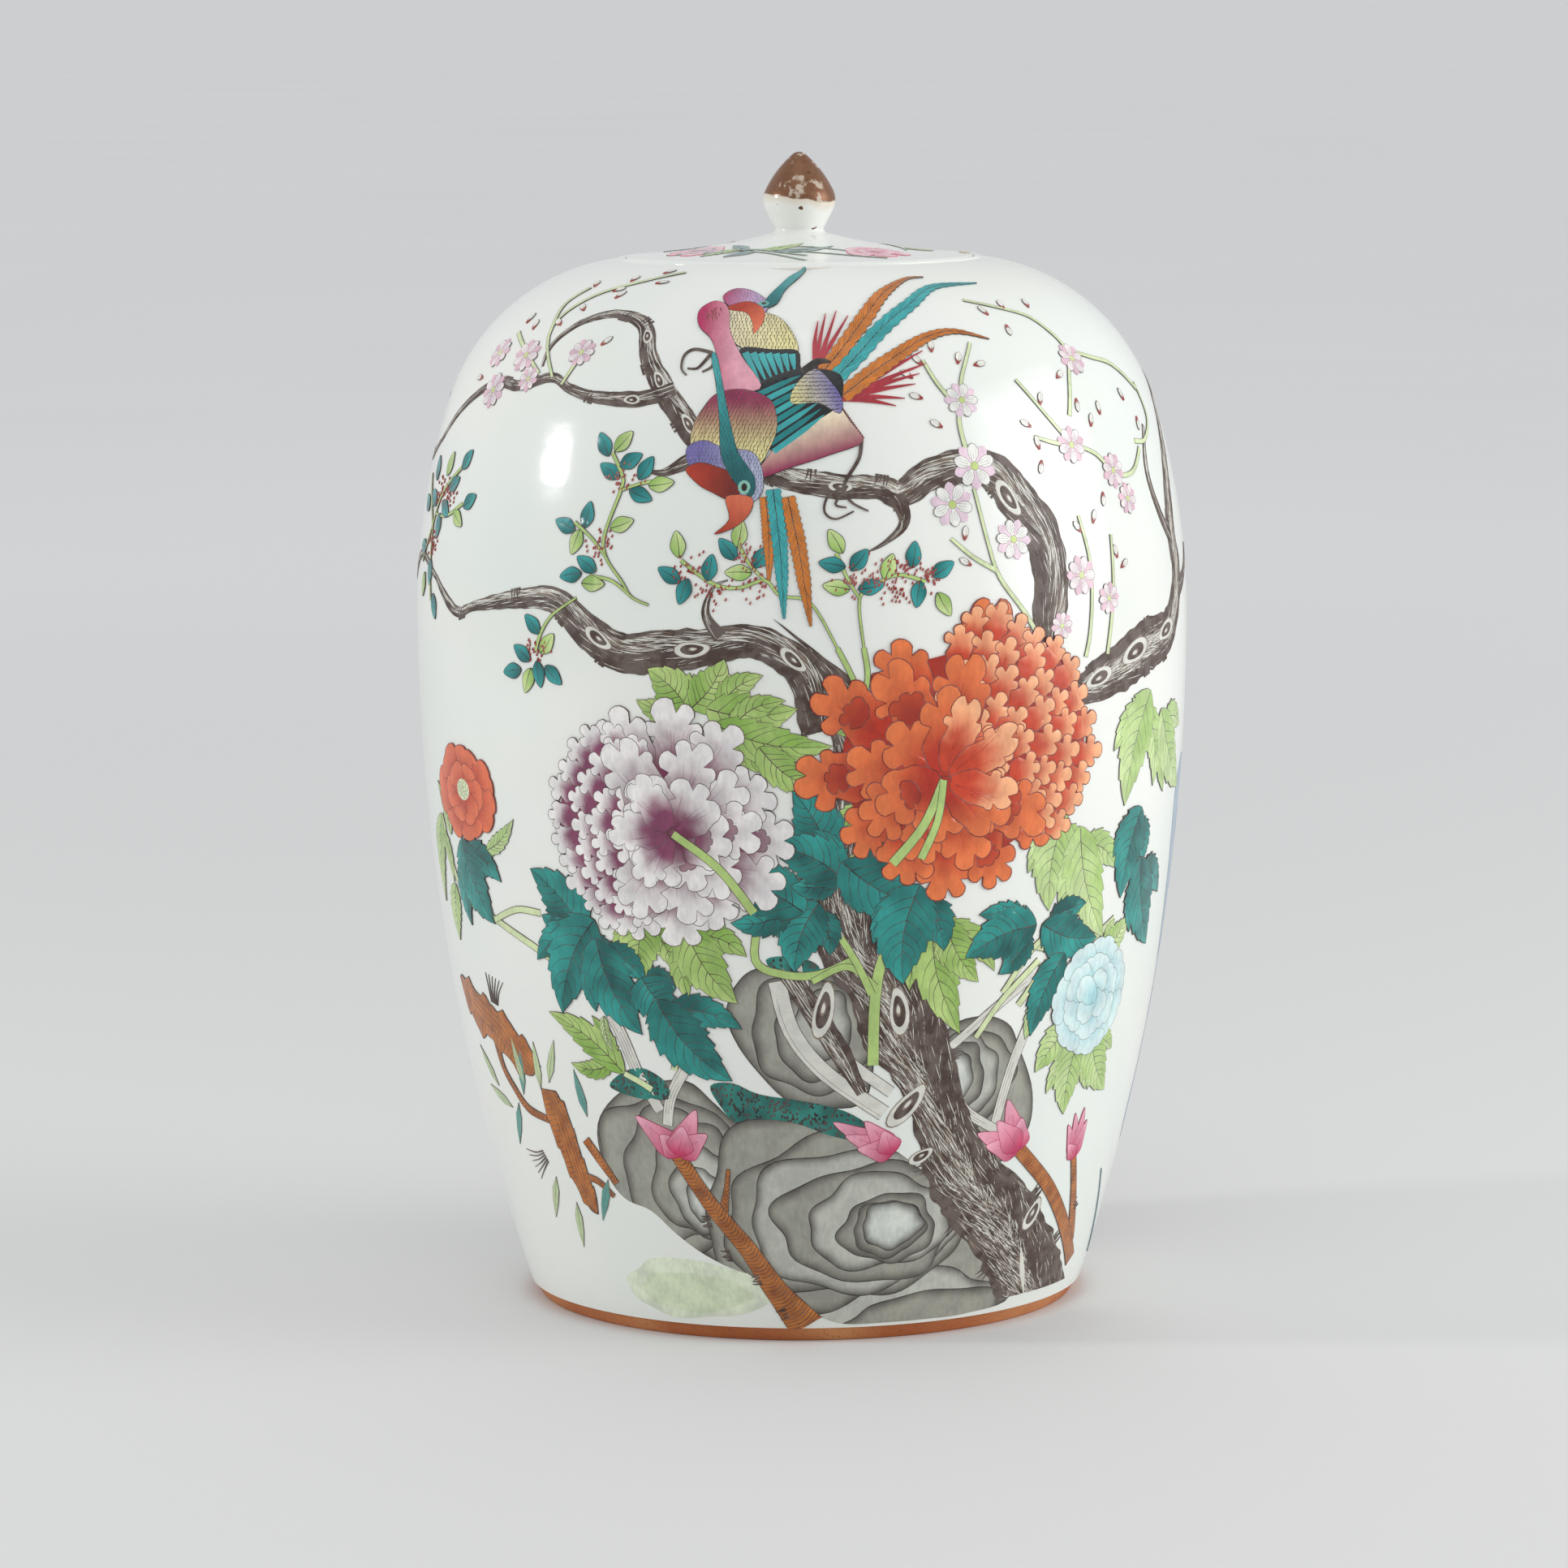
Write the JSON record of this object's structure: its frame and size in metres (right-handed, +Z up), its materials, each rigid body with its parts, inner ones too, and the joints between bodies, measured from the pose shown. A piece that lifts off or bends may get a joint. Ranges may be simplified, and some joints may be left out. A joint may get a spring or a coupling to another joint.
{
  "type": "ginger jar",
  "caption": "Tall covered porcelain jar with a high rounded shoulder, an unglazed foot ring and a low flush lid with a bud knob.",
  "frame": {"origin": "on the standing plane, at the jar's axis", "axes": "+Z up along the jar's axis; -Y towards the front of the painting; +X to the viewer's right"},
  "size_m": [0.2152, 0.2152, 0.32],
  "materials": {
    "porcelain": "clear feldspathic glaze over white porcelain, glossy, faintly green",
    "biscuit": "unglazed biscuit, burnt orange, matt",
    "knob_gilding": "worn brown gilding over glaze",
    "enamel": "overglaze enamels standing slightly proud of the glaze, glossy",
    "ink": "fired brown-black drawing lines, satin"
  },
  "bodies": {
    "jar": {"foot_ring": "biscuit", "base_floor": "porcelain", "jar_lower_wall": "porcelain", "jar_upper_wall": "porcelain", "mouth_collar": "porcelain"},
    "lid": {"lid_cover": "porcelain", "lid_flange": "biscuit", "lid_knob": "knob_gilding"}
  },
  "joints": [
    {"name": "lid_lift", "type": "slide", "parent": "jar", "child": "lid", "axis": [0, 0, 1], "range_m": [0, 0.08]}
  ]
}
